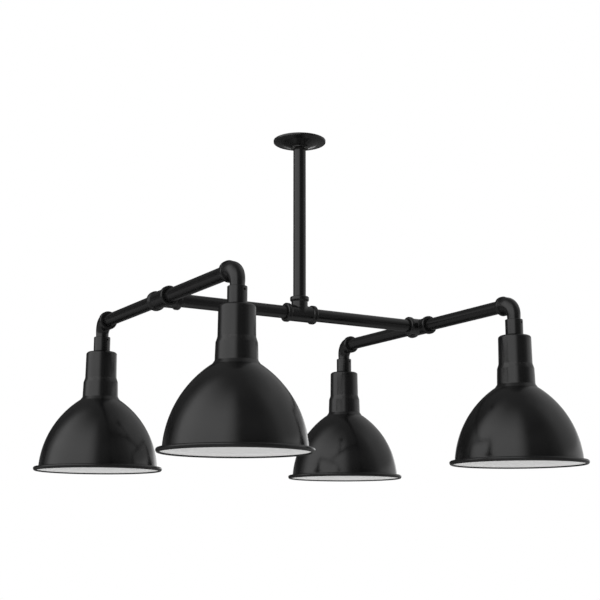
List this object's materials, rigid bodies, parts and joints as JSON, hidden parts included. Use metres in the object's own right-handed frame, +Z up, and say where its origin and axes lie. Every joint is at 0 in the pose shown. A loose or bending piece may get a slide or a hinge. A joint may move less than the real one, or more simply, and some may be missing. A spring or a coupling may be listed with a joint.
{
  "type": "pool table lamp",
  "caption": "Ceiling-hung pool table lamp: a stem and an H-shaped pipe frame carry deep bowl shades on street elbows, with a tilting swivel in the canopy.",
  "frame": {"origin": "centre of the canopy in the plane of the ceiling", "axes": "+X along the main pipe to the right, +Y to the back along the arms, +Z up into the ceiling"},
  "size_m": [1.0098, 1.0068, 0.7875],
  "materials": {
    "black_powder_coat": "satin",
    "shade_black_white": "satin black outside, gloss white inside",
    "zinc_plated_steel": "satin",
    "black_oxide_steel": "satin",
    "green_screw": "satin",
    "porcelain": "gloss",
    "socket_brass": "satin",
    "bulb_base_brass": "satin",
    "frosted_glass": "frosted",
    "black_insulation": "matte",
    "white_insulation": "matte",
    "terminal_nylon": "matte"
  },
  "bodies": {
    "ceiling_mount": {"crossbar": "zinc_plated_steel", "swivel_cup": "zinc_plated_steel", "cup_screws": "zinc_plated_steel", "ground_screw": "green_screw", "gimbal_pins_outer": "zinc_plated_steel", "canopy": "black_powder_coat", "canopy_lock_ring": "black_powder_coat"},
    "gimbal": {"gimbal_ring": "zinc_plated_steel"},
    "lamp_frame": {"gimbal_pins_inner": "zinc_plated_steel", "swivel_ball": "zinc_plated_steel", "swivel_nipple": "zinc_plated_steel", "stem_bushing": "black_powder_coat", "stem": "black_powder_coat", "centre_tee": "black_powder_coat", "main_pipe_left": "black_powder_coat", "main_pipe_right": "black_powder_coat", "end_tee_left": "black_powder_coat", "end_tee_right": "black_powder_coat", "arm_left_back": "black_powder_coat", "arm_left_front": "black_powder_coat", "arm_right_back": "black_powder_coat", "arm_right_front": "black_powder_coat", "elbow_left_back": "black_powder_coat", "elbow_left_front": "black_powder_coat", "elbow_right_back": "black_powder_coat", "elbow_right_front": "black_powder_coat", "collar_left_back": "black_powder_coat", "collar_left_front": "black_powder_coat", "collar_right_back": "black_powder_coat", "collar_right_front": "black_powder_coat", "housing_left_back": "black_powder_coat", "housing_left_front": "black_powder_coat", "housing_right_back": "black_powder_coat", "housing_right_front": "black_powder_coat", "shade_left_back": "shade_black_white", "shade_left_front": "shade_black_white", "shade_right_back": "shade_black_white", "shade_right_front": "shade_black_white", "socket_left_back": "porcelain", "socket_left_front": "porcelain", "socket_right_back": "porcelain", "socket_right_front": "porcelain", "collar_set_screws": "black_oxide_steel", "housing_nipples": "zinc_plated_steel", "housing_locknuts": "zinc_plated_steel", "socket_screws": "zinc_plated_steel", "socket_shells": "socket_brass", "socket_contacts": "socket_brass", "shade_rings": "zinc_plated_steel", "lamp_leads": "black_insulation", "stem_leads": "white_insulation", "terminal_block": "terminal_nylon"},
    "bulb_left_back": {"bulb_glass_left_back": "frosted_glass", "bulb_base_left_back": "bulb_base_brass"},
    "bulb_left_front": {"bulb_glass_left_front": "frosted_glass", "bulb_base_left_front": "bulb_base_brass"},
    "bulb_right_back": {"bulb_glass_right_back": "frosted_glass", "bulb_base_right_back": "bulb_base_brass"},
    "bulb_right_front": {"bulb_glass_right_front": "frosted_glass", "bulb_base_right_front": "bulb_base_brass"}
  },
  "joints": [
    {"name": "tilt_side", "type": "hinge", "parent": "ceiling_mount", "child": "gimbal", "pos_m": [0, 0, -0.008], "axis": [1, 0, 0], "range_deg": [-7.5, 7.5]},
    {"name": "tilt_end", "type": "hinge", "parent": "gimbal", "child": "lamp_frame", "pos_m": [0, 0, -0.008], "axis": [0, 1, 0], "range_deg": [-7.5, 7.5]},
    {"name": "bulb_out_left_back", "type": "slide", "parent": "lamp_frame", "child": "bulb_left_back", "axis": [0, 0, -1], "range_m": [0, 0.28]},
    {"name": "bulb_out_left_front", "type": "slide", "parent": "lamp_frame", "child": "bulb_left_front", "axis": [0, 0, -1], "range_m": [0, 0.28]},
    {"name": "bulb_out_right_back", "type": "slide", "parent": "lamp_frame", "child": "bulb_right_back", "axis": [0, 0, -1], "range_m": [0, 0.28]},
    {"name": "bulb_out_right_front", "type": "slide", "parent": "lamp_frame", "child": "bulb_right_front", "axis": [0, 0, -1], "range_m": [0, 0.28]}
  ]
}
